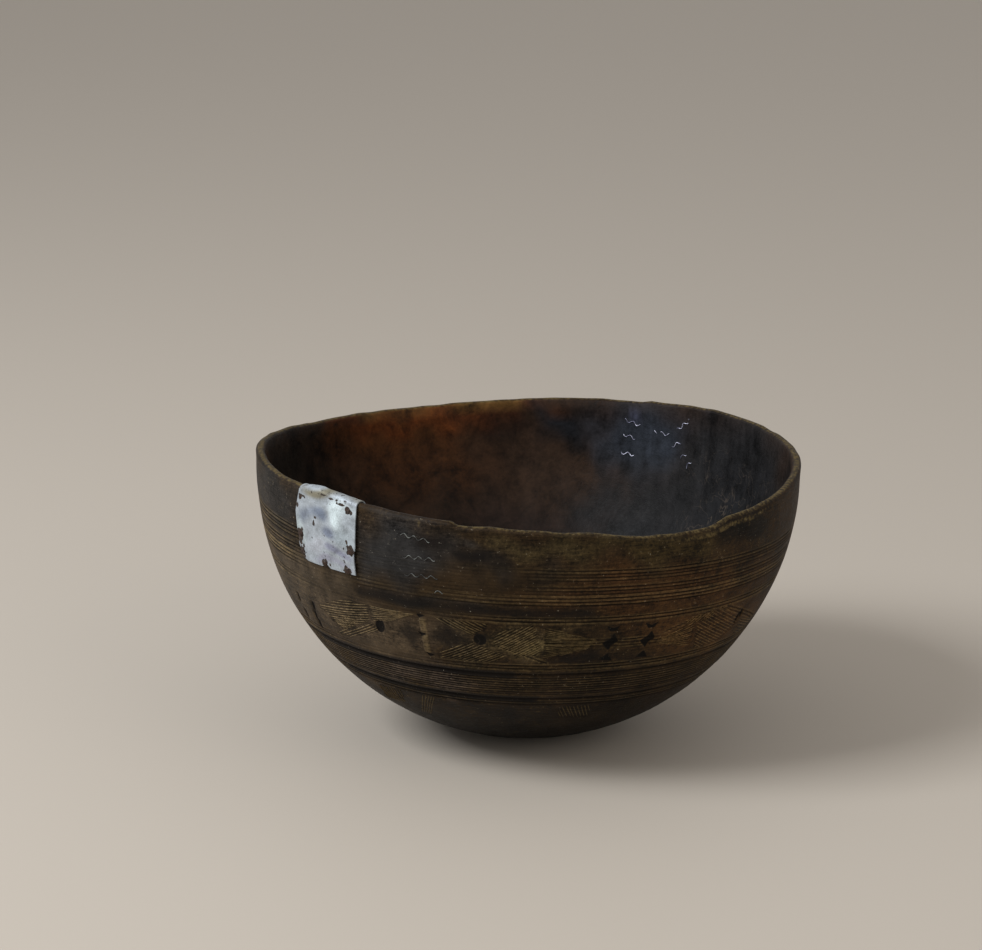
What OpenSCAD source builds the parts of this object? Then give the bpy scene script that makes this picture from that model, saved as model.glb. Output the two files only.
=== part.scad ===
// Carved wooden bowl with a folded tin patch and driven crack strips.
// Z is up. The origin is the middle of the worn flat that the bowl stands on.
// Azimuths run from +X towards +Y, in degrees, and the front of the bowl is at -90.

/* [Bowl] */
// Outside diameter of the mouth
bowl_d = 360; // [300:1:440]
// Depth of the round, from its lowest point up to where the wall stands upright
round_h = 183; // [150:1:220]
// Thickness of the wall at the rim
rim_wall = 6; // [5:0.25:8]
// Thickness of the wood at the middle of the floor
floor_wall = 14; // [10:0.5:20]
// Width of the worn flat that the bowl stands on
foot_d = 56; // [40:1:72]
// Lean of the bowl's own axis towards +X, in degrees
lean = 2.2; // [0:0.1:3]

/* [Rim] */
// Mean height of the upright lip above the round
lip_rise = 4.3; // [3:0.1:8]
// How far the warped rim swings up and down from its mean, twice round
rim_warp = 6.4; // [0:0.1:8]
// Azimuth of one high side of the warp
rim_warp_az = 29; // [0:1:90]
// How far the rim tips up on its high side
rim_tip = 3.1; // [0:0.1:5]
// Azimuth of the side that tips up
rim_tip_az = 24; // [0:1:90]
// How far the lip's crown falls away to each face of the wall
lip_crown = 1.5; // [0.8:0.1:2]

/* [Engraved rings] */
// Width of one engraved line
line_w = 1.5; // [1:0.1:2]
// Depth of one engraved line
line_depth = 0.7; // [0.3:0.05:1.2]
// Distance between the lines of one band
line_pitch = 2.3; // [2.1:0.1:3]
// Drop of the top line of the upper band below the mean rim
upper_band = 29; // [25:0.5:32]
// Drop of the top line of the middle band
middle_band = 40.5; // [39:0.5:42]
// Drop of the upper edge line of the frieze
frieze_top = 62; // [60:0.5:64]
// Height of the frieze between its edge lines
frieze_h = 35; // [30:0.5:38]
// Drop of the top line of the lower band
lower_band = 107; // [105:0.5:109]
// Drop of the top line of the band round the foot
foot_band = 128; // [127:0.5:131]

/* [Tin patch] */
// Azimuth of the middle of the patch
patch_az = -135.8; // [-150:0.1:-130]
// Width of the patch along the rim
patch_w = 55; // [40:1:66]
// Length of its outer leg, below the fold
patch_drop = 53; // [44:1:64]
// Length of its inner leg, below the fold
patch_tuck = 26; // [24:1:32]
// Thickness of the sheet
sheet_t = 0.8; // [0.4:0.1:1.2]
// Gap between the sheet and the wood
sheet_gap = 0.3; // [0.2:0.05:0.6]

/* [Nails] */
// Diameter of a nail's head
head_d = 5; // [4:0.1:6]
// Height of a nail's head
head_h = 1.1; // [0.8:0.1:1.4]
// Diameter of a nail's shank
shank_d = 1.6; // [1.2:0.1:2]
// Length of a nail's shank and point
shank_len = 4.5; // [3.5:0.1:4.8]
// Radial room round a shank, in the wood and in the sheet
shank_room = 0.1; // [0.05:0.05:0.3]
// Distance from a nail to the edge of the patch
nail_inset = 3.2; // [3:0.1:5]
// Drop of the uppermost nails below the fold
nail_top = 9; // [8:0.5:11]

/* [Crack strips] */
// Length of a strip on the outside
strip_len = 22; // [17:1:26]
// Length of a strip on the inside
inner_strip_len = 13; // [11:1:15]
// Pitch of a strip's waves
wave_pitch = 6.6; // [5.5:0.1:8]
// Height of a strip's waves, from crest to trough
wave_h = 3; // [2:0.1:3.6]
// Thickness of the strip metal
strip_t = 0.9; // [0.6:0.1:1.2]
// Height of a strip from its buried edge to its proud edge
strip_deep = 4; // [3:0.1:4.4]
// How far a strip stands proud of the wood
strip_proud = 0.6; // [0.4:0.1:1]
// Room round a strip in its slot
strip_room = 0.1; // [0.05:0.05:0.2]

/* [Hidden] */

bowl_r = bowl_d / 2;
inner_r = bowl_r - rim_wall;
rim_h = round_h + lip_rise;
over = 20;            // how far cutters run past what they cut
skin = 0.05;          // the hair between faces that only touch
profile_n = 40;       // steps in the round of the outline
rim_n = 60;           // steps round the rim cutter
$fn = 48;

// Nails: place across the patch from -1 to 1, and down its leg from 0 to 1
patch_nails = [[0.98, 0.67], [0.78, 1], [-0.04, 0.98], [-0.96, 0.91], [-0.98, 0.62], [0.9, 0], [-0.9, 0.03]];
inner_nails = [[-0.7, 0.5], [0.7, 0.4]];
// Strips: azimuth, drop below the rim there, and turn in the face of the wood
outer_strips = [[-113.6, 13.8, -6], [-112.5, 26.7, 2], [-112.1, 38.4, 2], [-108.7, 47.2, 8]];
rear_strips = [[64, 15.7, -12], [64.5, 25.8, -10], [64.6, 38, -3]];
side_strips = [[50.4, 13.9, 41], [56.4, 21.6, -3], [51.9, 28.2, 30], [49.9, 36.3, 38], [47.8, 41.4, 50]];

// Radius of the outside, and of the inside, at a height up the bowl's own axis
function round_r(r, low, z) =
    z >= round_h ? r : r * sqrt(max(0, 1 - pow((round_h - z) / (round_h - low), 2)));
function outer_r(z) = round_r(bowl_r, 0, z);
function wall_r(z) = round_r(inner_r, floor_wall, z);

// Height of the rim at an azimuth
function rim_z(az) =
    rim_h + rim_tip * cos(az - rim_tip_az) + rim_warp * cos(2 * (az - rim_warp_az));

// Tilt of the surface from upright at a height, in degrees
function outer_tilt(z) = atan2(outer_r(z + 1) - outer_r(z - 1), 2);
function wall_tilt(z) = atan2(wall_r(z + 1) - wall_r(z - 1), 2);

// Heights of every engraved line
function band(drop, n) = [for (i = [0:n - 1]) rim_h - drop - i * line_pitch];
line_heights = concat(band(upper_band, 3), band(middle_band, 6), band(frieze_top, 2),
    band(frieze_top + frieze_h, 2), band(lower_band, 8), band(foot_band, 2));

// Stand the bowl's leaning frame on its worn flat
foot_cut = bowl_r - sqrt(pow(bowl_r, 2) - pow(foot_d / 2, 2));
module in_place() {
    translate([-bowl_r * sin(lean), 0, bowl_r * (1 - cos(lean)) - foot_cut])
        rotate([0, lean, 0])
            children();
}

// Put a piece's z = 0 plane on the outside or the inside of the wall, its z pointing out of the wood
module on_outside(az, z) {
    rotate([0, 0, az])
        translate([outer_r(z), 0, z])
            rotate([0, 90 + outer_tilt(z), 0])
                rotate([0, 0, 90])
                    children();
}
module on_inside(az, z) {
    rotate([0, 0, az])
        translate([wall_r(z), 0, z])
            rotate([0, wall_tilt(z) - 90, 0])
                rotate([0, 0, -90])
                    children();
}

// The bowl turned solid and hollow, with its engraved lines, before the rim is cut
module turned_bowl() {
    top = rim_h + over;
    rotate_extrude($fn = 180)
        difference() {
            polygon(concat(
                [for (i = [0:profile_n]) let (t = 90 * i / profile_n)
                    [bowl_r * sin(t), round_h * (1 - cos(t))]],
                [[bowl_r, top], [inner_r, top]],
                [for (i = [profile_n:-1:0]) let (t = 90 * i / profile_n)
                    [inner_r * sin(t), round_h - (round_h - floor_wall) * cos(t)]]));
            for (z = line_heights)
                translate([outer_r(z), z])
                    rotate(-outer_tilt(z))
                        polygon([[0.2, -line_w / 2], [-line_depth, 0], [0.2, line_w / 2]]);
        }
}

// Cuts the warped rim and leaves a crowned lip: a ring with a hollow underside
module rim_cutter() {
    mid = (bowl_r + inner_r) / 2;
    half = rim_wall / 2;
    section = concat(
        [[mid + half + over, over]],
        [for (s = [2, 1.3, 0.8, 0.3, -0.3, -0.8, -1.3, -2]) [mid + half * s, -lip_crown * s * s]],
        [[mid - half - over, over]]);
    m = len(section);
    points = [for (i = [0:rim_n - 1]) let (az = 360 * i / rim_n) for (p = section)
        [p[0] * cos(az), p[0] * sin(az), p[1] == over ? rim_h + over * 1.5 : rim_z(az) + p[1]]];
    faces = [for (i = [0:rim_n - 1]) for (j = [0:m - 1])
        let (a = i * m, b = ((i + 1) % rim_n) * m, k = (j + 1) % m)
        each [[a + j, b + k, a + k], [a + j, b + j, b + k]]];
    polyhedron(points, faces, convexity = 6);
}

// Outline of a corrugated strip seen on edge, grown by some room on every side
module wave(length, room) {
    n = floor(length / (wave_pitch / 2));
    step = length / n;
    flat = step * 0.18;
    t = strip_t / 2 + room;
    lift = wave_h / 2 - strip_t / 2;
    crest = [for (i = [0:n]) let (s = i % 2 == 0 ? 1 : -1, x = i * step - length / 2)
        each [[x - (i == 0 ? room : flat), s * lift], [x + (i == n ? room : flat), s * lift]]];
    m = len(crest);
    polygon(concat(
        [for (p = crest) [p[0], p[1] + t]],
        [for (i = [m - 1:-1:0]) [crest[i][0], crest[i][1] - t]]));
}
module strip(length) {
    color("lightsteelblue")
        translate([0, 0, strip_proud - strip_deep])
            linear_extrude(strip_deep)
                wave(length, 0);
}
module strip_slot(length) {
    translate([0, 0, strip_proud - strip_deep - strip_room])
        linear_extrude(strip_deep + over)
            wave(length, strip_room);
}

// Strips in their places: s is the row of the table that holds azimuth, drop and turn
module outer_strip_at(s) {
    on_outside(s[0], rim_z(s[0]) - s[1])
        rotate(s[2])
            children();
}
module inner_strip_at(s) {
    on_inside(s[0], rim_z(s[0]) - s[1])
        rotate(s[2])
            children();
}

// The turn that the patch's width takes round the rim, and the top of its fold, which clears
// the highest rim under it and the corners of the crowned lip
patch_turn = patch_w / bowl_r * 180 / PI;
outer_skin = sheet_gap + sheet_t;
fold_r = rim_wall / 2 + sheet_gap;
under_rim = max([for (s = [-1, 0, 1]) rim_z(patch_az + s * patch_turn / 2)]);
corner_lift = max(0, fold_r - sqrt(pow(fold_r, 2) - pow(rim_wall / 2, 2)) - lip_crown);
fold_z = under_rim + outer_skin + corner_lift;

// Section of the folded sheet: down the outside, over the lip and down the inside
module patch_section() {
    mid = bowl_r - rim_wall / 2;
    shoulder = fold_z - fold_r - sheet_t;
    low = fold_z - patch_drop;
    tuck = fold_z - patch_tuck;
    legs = 8;
    function out_leg(gap) = [for (i = [0:legs]) let (z = low + (shoulder - low) * i / legs)
        [outer_r(z) + gap, z]];
    function in_leg(gap) = [for (i = [legs:-1:0]) let (z = tuck + (shoulder - tuck) * i / legs)
        [wall_r(z) - gap, z]];
    function fold(r) = [for (i = [1:11]) [mid + r * cos(15 * i), shoulder + r * sin(15 * i)]];
    function back(list) = [for (i = [len(list) - 1:-1:0]) list[i]];
    polygon(concat(
        out_leg(outer_skin), fold(fold_r + sheet_t), in_leg(outer_skin),
        back(concat(out_leg(sheet_gap), fold(fold_r), in_leg(sheet_gap)))));
}

// A nail's frame: z = 0 is on the wood, so the head sits on top of the sheet
function nail_az(p) = patch_az + p[0] * (patch_turn / 2 - nail_inset / bowl_r * 180 / PI);
function nail_z(p, leg) = fold_z - nail_top - p[1] * (leg - nail_top - nail_inset);
module patch_nail_at(p) {
    on_outside(nail_az(p), nail_z(p, patch_drop))
        children();
}
module inner_nail_at(p) {
    on_inside(nail_az(p), nail_z(p, patch_tuck))
        children();
}
module nail() {
    point = shank_d;
    seat = outer_skin + skin;
    color("saddlebrown")
        rotate_extrude()
            polygon(concat(
                [[0, seat - shank_len], [shank_d / 2, seat - shank_len + point], [shank_d / 2, seat],
                    [head_d / 2, seat]],
                [for (t = [0:15:90]) [head_d / 2 * cos(t), seat + head_h * (0.3 + 0.7 * sin(t))]]));
}
module nail_hole() {
    translate([0, 0, -shank_len])
        cylinder(h = shank_len + over, d = shank_d + 2 * shank_room);
}

module bowl() {
    color("saddlebrown")
        difference() {
            in_place()
                difference() {
                    turned_bowl();
                    rim_cutter();
                    for (s = outer_strips)
                        outer_strip_at(s) strip_slot(strip_len);
                    for (s = concat(rear_strips, side_strips))
                        inner_strip_at(s) strip_slot(inner_strip_len);
                    for (p = patch_nails)
                        patch_nail_at(p) nail_hole();
                    for (p = inner_nails)
                        inner_nail_at(p) nail_hole();
                }
            translate([0, 0, -over])
                cylinder(h = over, d = bowl_d);
        }
}

module rim_patch() {
    color("gainsboro")
        in_place()
            difference() {
                rotate([0, 0, patch_az - patch_turn / 2])
                    rotate_extrude(angle = patch_turn, $fn = 180)
                        patch_section();
                for (p = patch_nails)
                    patch_nail_at(p) nail_hole();
                for (p = inner_nails)
                    inner_nail_at(p) nail_hole();
            }
}

module patch_nail(i) {
    in_place()
        patch_nail_at(patch_nails[i]) nail();
}
module inner_patch_nail(i) {
    in_place()
        inner_nail_at(inner_nails[i]) nail();
}
module outer_strip(i) {
    in_place()
        outer_strip_at(outer_strips[i]) strip(strip_len);
}
module rear_strip(i) {
    in_place()
        inner_strip_at(rear_strips[i]) strip(inner_strip_len);
}
module side_strip(i) {
    in_place()
        inner_strip_at(side_strips[i]) strip(inner_strip_len);
}

bowl();
rim_patch();
for (i = [0:len(patch_nails) - 1])
    patch_nail(i);
for (i = [0:len(inner_nails) - 1])
    inner_patch_nail(i);
for (i = [0:len(outer_strips) - 1])
    outer_strip(i);
for (i = [0:len(rear_strips) - 1])
    rear_strip(i);
for (i = [0:len(side_strips) - 1])
    side_strip(i);
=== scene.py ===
# %% [markdown]
# # A carved wooden bowl, mended with tin and corrugated strips
#
# The real bowl is one piece of wood: hollowed with an adze, scraped round, engraved with a knife and a
# hot iron, then darkened by years of smoke and oil. A scrap of tin is folded over its rim and tacked
# down, and corrugated strips are driven edge-on across its cracks. This lesson builds each of those
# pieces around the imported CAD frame, which already says where everything is and how big it is.

# %% Load the frame
import math

import bpy
import numpy as np
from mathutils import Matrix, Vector


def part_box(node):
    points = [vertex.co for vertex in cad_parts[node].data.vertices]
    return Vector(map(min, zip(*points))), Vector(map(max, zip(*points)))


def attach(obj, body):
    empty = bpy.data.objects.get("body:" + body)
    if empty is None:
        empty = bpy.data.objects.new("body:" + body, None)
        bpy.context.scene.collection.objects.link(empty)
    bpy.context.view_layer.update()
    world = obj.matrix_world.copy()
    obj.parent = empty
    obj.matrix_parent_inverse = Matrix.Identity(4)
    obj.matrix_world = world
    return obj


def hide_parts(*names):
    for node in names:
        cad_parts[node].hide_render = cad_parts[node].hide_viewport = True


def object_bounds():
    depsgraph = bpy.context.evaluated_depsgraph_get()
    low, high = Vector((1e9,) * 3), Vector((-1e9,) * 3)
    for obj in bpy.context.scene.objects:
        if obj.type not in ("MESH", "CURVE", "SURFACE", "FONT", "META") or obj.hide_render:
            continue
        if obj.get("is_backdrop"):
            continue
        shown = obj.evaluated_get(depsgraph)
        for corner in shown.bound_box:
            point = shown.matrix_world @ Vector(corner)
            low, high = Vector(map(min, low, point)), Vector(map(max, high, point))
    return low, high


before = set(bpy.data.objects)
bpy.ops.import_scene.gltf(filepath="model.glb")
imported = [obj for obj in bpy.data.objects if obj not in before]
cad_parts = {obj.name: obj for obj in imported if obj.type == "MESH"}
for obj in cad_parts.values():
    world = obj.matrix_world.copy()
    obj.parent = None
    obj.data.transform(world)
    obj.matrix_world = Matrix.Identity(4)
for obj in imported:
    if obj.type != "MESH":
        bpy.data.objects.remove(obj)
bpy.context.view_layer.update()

# %% [markdown]
# ## Camera first
#
# The camera stands about 2.2 m in front and its axis points down by 14 degrees, through a spot near the
# rim. It comes first, so that every later piece can be judged through it.

# %% Camera
DISTANCE = 2.2
DOWN = math.radians(14.02)
AIM = Vector((-0.0244, 0.0209, 0.1665))
SENSOR_MM, LENS_MM = 36, 120.4
camera = bpy.data.objects.new("camera", bpy.data.cameras.new("camera"))
bpy.context.scene.collection.objects.link(camera)
camera.location = AIM - DISTANCE * Vector((0, math.cos(DOWN), -math.sin(DOWN)))
camera.rotation_euler = (math.pi / 2 - DOWN, 0, 0)
camera.data.sensor_width = SENSOR_MM
camera.data.lens = LENS_MM
camera.data.clip_start = 0.05
camera.data.clip_end = 60
bpy.context.scene.camera = camera
bpy.context.scene.view_settings.view_transform = "Standard"
print("camera at", tuple(round(v, 3) for v in camera.location))

# %% [markdown]
# ## The bowl's own sizes
#
# The carving is easiest to think of in millimetres, in the bowl's own frame: its axis upright, azimuth
# round it in degrees (the front is -90) and height up from the lowest point of the round. The bowl
# stands a little tipped on a worn flat, so one function, `stand`, leans it and sets it on the ground.
# The width comes from the frame and the rest repeats the values that the CAD part was drawn with.

# %% Sizes and the way from the bowl's frame to the ground
MM = 0.001
low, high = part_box("bowl")
BOWL_R = round((high.y - low.y) / 2 / MM)
ROUND_H = 183.0
LIP_RISE = 4.3
RIM_H = ROUND_H + LIP_RISE
RIM_WALL = 6.0
FLOOR_WALL = 14.0
FOOT_W = 56.0
LEAN = math.radians(2.2)
FOOT_CUT = BOWL_R - math.sqrt(BOWL_R**2 - (FOOT_W / 2) ** 2)


def stand(points):
    """Points in the bowl's frame, in millimetres, to the row frame, in metres."""
    p = np.asarray(points, float)
    x = p[..., 0] * math.cos(LEAN) + p[..., 2] * math.sin(LEAN) - BOWL_R * math.sin(LEAN)
    z = p[..., 2] * math.cos(LEAN) - p[..., 0] * math.sin(LEAN) + BOWL_R * (1 - math.cos(LEAN)) - FOOT_CUT
    return np.stack([x, p[..., 1], z], -1) * MM


def polar(azimuth, radius, height):
    """Points in the bowl's frame from azimuth in degrees, radius and height."""
    a = np.radians(azimuth)
    return np.stack(np.broadcast_arrays(radius * np.cos(a), radius * np.sin(a), height), -1)


def outer_r(z):
    """Radius of the smooth outside at a height."""
    t = np.clip((ROUND_H - np.asarray(z, float)) / ROUND_H, 0, 1)
    return BOWL_R * np.sqrt(1 - t * t)


def wall_r(z):
    """Radius of the smooth inside at a height."""
    t = np.clip((ROUND_H - np.asarray(z, float)) / (ROUND_H - FLOOR_WALL), 0, 1)
    return (BOWL_R - RIM_WALL) * np.sqrt(1 - t * t)


print("mouth", 2 * BOWL_R, "mm across, foot cut", round(FOOT_CUT, 2), "mm deep")

# %% [markdown]
# ## Smooth noise that closes round the bowl
#
# Nothing cut by hand is even. A few cosine waves with random directions give a smooth wander that
# repeats exactly after 360 degrees, so the wall has no seam. Each wander keeps its own seed, so it is
# the same wherever and however often it is read, and the bowl comes out the same each time.

# %% Seeded wander


class Wander:
    """Smooth noise over the wall, mostly between -1 and 1."""

    def __init__(self, seed, round_waves, height_scale, waves=14):
        draw = np.random.default_rng(seed)
        self.turns = draw.integers(1, round_waves + 1, waves)
        self.climbs = draw.normal(size=waves) / height_scale
        self.starts = draw.uniform(0, 2 * math.pi, waves)

    def __call__(self, azimuth, height=0.0):
        a = np.radians(azimuth)
        parts = [np.cos(a * n + height * k + s) for n, k, s in zip(self.turns, self.climbs, self.starts)]
        return sum(parts) / math.sqrt(len(parts) / 2) / 1.5


def soft(x):
    """A smooth step from 0 to 1 as x goes from 0 to 1."""
    x = np.clip(x, 0, 1)
    return x * x * (3 - 2 * x)


def turn_between(a, b):
    """a - b in degrees, from -180 to 180."""
    return (np.asarray(a, float) - b + 180) % 360 - 180


# %% [markdown]
# ## The rim
#
# The wood moved as it dried, so the rim is warped like a saddle: high at the right rear and the left
# front. On top of that it is worn and chipped: a short list gives those small rises and nicks.

# %% Height of the rim round the bowl
RIM_TIP, RIM_TIP_AZ = 3.1, 24.0
RIM_WARP, RIM_WARP_AZ = 6.4, 29.0
RIM_WEAR = [(-172, 0), (-152, -3), (-135, -1.5), (-118, -1), (-106, 0), (-105, -2), (-98, 0), (-78, 0.5),
            (-66, -3), (-51, -2.5), (-46, 1), (0, 1), (20, -1), (60, 0), (62, -1), (80, 1),
            (140, 0), (147, -1), (153, 0), (175, 1)]  # azimuth, mm above the warped curve



def cad_rim(azimuth):
    """Height of the rim that the CAD part has."""
    swing = RIM_TIP * np.cos(np.radians(azimuth - RIM_TIP_AZ))
    return RIM_H + swing + RIM_WARP * np.cos(np.radians(2 * (azimuth - RIM_WARP_AZ)))


nibble = Wander(3, 70, 1.0)


def rim_z(azimuth):
    """Height of the top of the worn rim."""
    at, wear = zip(*RIM_WEAR)
    return cad_rim(azimuth) + np.interp(azimuth, at, wear, period=360) + 0.3 * nibble(azimuth)


# %% [markdown]
# ## The carver's pattern
#
# The pattern is laid out in azimuth and height, like a drawing on a strip of paper. Its lines aren't
# quite level: each height tips a little towards one side, and above the last line the drawing
# stretches up to the lip. `level` turns a height in the drawing into a height on the wood.

# %% Engraved lines and how level they are
LINES = {  # height in the drawing, in mm: (depth, half width, how bright its edges are rubbed)
    158.0: (0.5, 0.75, 0.4), 155.6: (0.6, 0.7, 0.4), 153.4: (0.5, 0.7, 0.35), 151.2: (0.25, 0.6, 0.25),
    146.6: (0.5, 0.7, 0.5), 144.2: (0.6, 0.7, 0.65), 141.8: (0.4, 0.6, 0.5), 139.0: (0.65, 0.75, 0.8),
    136.6: (0.6, 0.7, 0.8), 134.2: (0.7, 0.8, 0.9),
    125.0: (0.65, 0.75, 0.8), 122.4: (0.75, 0.8, 0.8),
    89.6: (0.7, 0.8, 0.8), 87.2: (0.7, 0.75, 0.6), 82.4: (1.1, 1.5, 0.1),
    79.4: (0.45, 0.65, 0.5), 77.5: (0.45, 0.6, 0.7), 75.6: (0.5, 0.65, 0.75), 73.6: (0.45, 0.6, 0.75),
    71.6: (0.5, 0.65, 0.75), 69.7: (0.45, 0.6, 0.6), 67.8: (0.4, 0.6, 0.55), 65.9: (0.35, 0.6, 0.4),
    61.6: (1.1, 1.5, 0.1), 59.0: (0.5, 0.7, 0.4), 56.8: (0.5, 0.7, 0.3),
}
LEVEL_AT = [0, 60, 85, 105, 125, 135, 158, 200]
LEVEL_TIP = [0, 1.0, 2.0, 1.0, 0.3, 0.0, -1.5, -1.5]
FRIEZE = (90.8, 121.0)
HEM = 160.0                      # above this the drawing stretches to follow the rim
TOP = 187.0                      # height in the drawing of the edge of the lip
LIP_DROP = 1.9                   # how far the rounded lip falls to each face of the wall
WORN_LIP = (-47, 20, 2.4)        # where hands wore it rounder: azimuth, half width, extra fall


def hand_worn(azimuth):
    """1 where the lip is worn round by hands, 0 elsewhere."""
    az, half, _ = WORN_LIP
    return soft(1.3 - np.abs(turn_between(azimuth, az)) / half)


def lip_drop(azimuth):
    """How far the lip falls from its top to the faces of the wall."""
    return LIP_DROP + WORN_LIP[2] * hand_worn(azimuth)


def level(azimuth, drawn):
    """Height on the wood of a height in the drawing."""
    flat = np.minimum(drawn, HEM)
    tipped = flat + np.interp(flat, LEVEL_AT, LEVEL_TIP) * np.cos(np.radians(azimuth))
    share = np.clip((drawn - HEM) / (TOP - HEM), 0, 1)
    return tipped * (1 - share) + (rim_z(azimuth) - lip_drop(azimuth)) * share


print(len(LINES), "engraved lines")

# %% [markdown]
# ## The frieze
#
# Between two double lines runs the main band: fields of fine hatching, dark spots burnt in with a hot
# iron, and upright bars. The carver's few motifs are functions here: a diamond, a wedge stack, a nick and
# a strip of ground. Freehand fields are outlines with only the corners they need, on whole degrees and
# millimetres. The part of the band that repeats behind the bowl is one unit, stepped round by a loop.

# %% Motifs
LOW, MID, HIGH = 91, 106, 121    # the band's lower edge, middle and upper edge


def diamond(azimuth, height, half, rise, lean=0):
    """Four corners: half a width to each side, a rise up and down, and the tips leaned sideways."""
    return [(azimuth - half, height), (azimuth + lean, height + rise),
            (azimuth + half, height), (azimuth - lean, height - rise)]


def ground(left, right, height, half):
    """A strip of ground between two azimuths."""
    return [(left, height - half), (right, height - half), (right, height + half), (left, height + half)]


def wedge_stack(azimuth):
    """A crown, a slanted lozenge and a triangle, burnt one under another."""
    crown = [(-1.6, 119), (0, 117), (1.6, 119), (0.7, 115), (-0.7, 115)]
    lozenge = [(0.4, 113), (1.8, 107), (0.3, 104), (0, 100), (-1.9, 106), (-0.2, 109)]
    triangle = [(0, 98), (1.6, 92), (-1.6, 93)]
    return [[(azimuth + a, h) for a, h in shape] for shape in (crown, lozenge, triangle)]


def nick(azimuth, height):
    """A small notch at the side of a bar."""
    return [(azimuth - 1.2, height + 1), (azimuth + 1.2, height), (azimuth - 0.3, height - 2)]


# %% Shapes of the frieze
HATCHED = [  # outline (azimuth, height), slope of the strokes in degrees, spacing in mm
    ([(-144, 108), (-134, 119), (-126, HIGH), (-126, 109), (-137, 95)], 10, 1.7),
    ([(-140, 102), (-134, 108), (-129, 105), (-137, 95)], -24, 1.7),
    ([(-141, LOW), (-126, 108), (-124, 104), (-136, LOW)], 24, 1.6),
    ([(-110, LOW), (-110, 96), (-102, MID), (-94, 98), (-97, LOW)], 27, 1.6),
    ([(-98, 105), (-96, 115), (-88, HIGH), (-86, 96), (-92, 96)], 33, 1.6),
    ([(-110, HIGH), (-97, HIGH), (-101, 110), (-107, 116)], -27, 1.8),
    ([(-50, 112), (-46, HIGH), (-42, HIGH), (-32, 104), (-38, 92), (-47, 92)], -26, 1.9),
    ([(-54, 113), (-51, 119), (-44, HIGH), (-46, 112)], 40, 1.9),
    ([(-32, MID), (-20, 95), (-24, LOW), (-31, LOW)], -18, 2.0),
    ([(-137, 54), (-126, 56), (-131, 40), (-142, 38)], 66, 3.0),
    ([(-120, 56), (-115, 56), (-124, 33), (-128, 33)], 43, 1.8),
    ([(-79, 55), (-70, 55), (-68, 42), (-79, 43)], -50, 2.4),
]
FANS = [  # outline, the point that the strokes run to, and the angle between them in degrees
    ([(-126, 109), (-126, HIGH), (-114, HIGH), (-121, 112)], (-111, 121.5), 2.0),
    ([(-86, 119), (-74, 108), (-76, 102), (-86, 95)], (-71.5, 107.3), 2.0),
    ([(-60, 103), (-54, 112), (-50, 115), (-49, 95), (-55, 99)], (-62, 102), 3.2),
]
OVALS = [(-124, 107, 1.3, 4.5, 1), (-100, 108, 1.4, 4, 0),  # centre, half sizes, slant in mm per degree
         (-34, 107, 0.5, 4, -3), (-33, 110, 0.6, 3, -3)]
OVALS += [(azimuth, height, 0.7, 3, 2.5) for azimuth, height in
          ((-154, 95), (-154, 106), (-148, 92), (-148, 98), (-147, 105))]
BURNT = wedge_stack(-71) + wedge_stack(-62) + [nick(-113, 121), nick(-113, 108), nick(-112, 93)]
SMOKED = [  # plain darkened ground: outline, how soft its edge is in mm, and how dark it is
    (ground(-152, -92, 82, 2.8), 1.2, 0.95), (ground(-148, -86, 61, 2.6), 1.2, 0.95),
    (ground(-128, -76, 129, 3), 2.5, 0.8),
    (diamond(-116, 106, 3, 9), 3, 0.75), (diamond(-107, 107, 4, 8), 3, 0.75),
    ([(-86, 92), (-73, 102), (-73, 94)], 3, 0.75),
    ([(-113, 177), (-106, 178), (-106, 169), (-113, 166)], 4, 0.8),
    ([(-106, 168), (-98, 171), (-98, 164), (-104, 161)], 2.5, 0.95),
    (diamond(-93, 45, 4, 9), 4, 0.7), (diamond(-111, 49, 4, 4), 4, 0.7), (diamond(-102, 49, 3, 4), 4, 0.7),
]
SCUFFED = [(-162, 165, 9, 16), (-97, 100, 12, 12), (46, 98, 22, 24), (30, 140, 20, 30)]  # centre, half sizes
BARS = [(-112.5, 0.75, 93.5, 119.5)]  # upright bars: azimuth, half width, lowest and highest height
SCORES = [((-86, h), (-57, h - 2)) for h in (105, 107.3, 109.6)]  # short engraved lines: both ends
SCORES += [((-58, 111), (-46, HIGH)), ((-43, HIGH), (-24, 100)), ((-41, HIGH), (-22, 100)),
           ((-96, 104), (-85, 92))]

UNIT_FIELDS = [  # one unit of the band where it goes on behind the bowl, drawn about azimuth 0
    ([(-15, 106), (-8, 114), (0, 121), (7, 114), (14, 106), (0, 100)], -20, 2.1),
    ([(-13, 103), (0, 98), (12, 103), (6, 96), (0, 91.8), (-6, 96)], 20, 2.1),
    ([(-6, 55.5), (-1, 55.5), (-14, 33), (-20, 33)], 42, 2.3),
]
UNIT_OVALS = [(-17.5, 106, 1.2, 4.4, 0.0), (17.5, 106, 1.2, 4.4, 0.0)]
UNIT_SCORES = [((-15, 108.5), (0, 121.5)), ((0, 121.5), (14, 108.5))]
for centre in range(2, 180, 40):
    HATCHED += [([(a + centre, h) for a, h in corners], slope, gap) for corners, slope, gap in UNIT_FIELDS]
    OVALS += [(a + centre, *rest) for a, *rest in UNIT_OVALS]
    SCORES += [tuple((a + centre, h) for a, h in ends) for ends in UNIT_SCORES]
    SMOKED.append((diamond(centre + 8, 47, 4, 7), 4, 0.7))
    BARS.append((centre + 20, 0.7, 94.0, 118.0))
print(len(HATCHED) + len(FANS), "hatched fields,", len(OVALS), "burnt spots,", len(SCORES), "scored lines")

# %% [markdown]
# ## Measuring to a shape
#
# The wall is moved in or out at each vertex by how far that vertex is from each shape in the drawing.
# Distances are taken in millimetres on the wood, so azimuth is first turned into a length.

# %% Distances in the drawing
MM_PER_DEG = math.radians(1) * float(outer_r(106))


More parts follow.
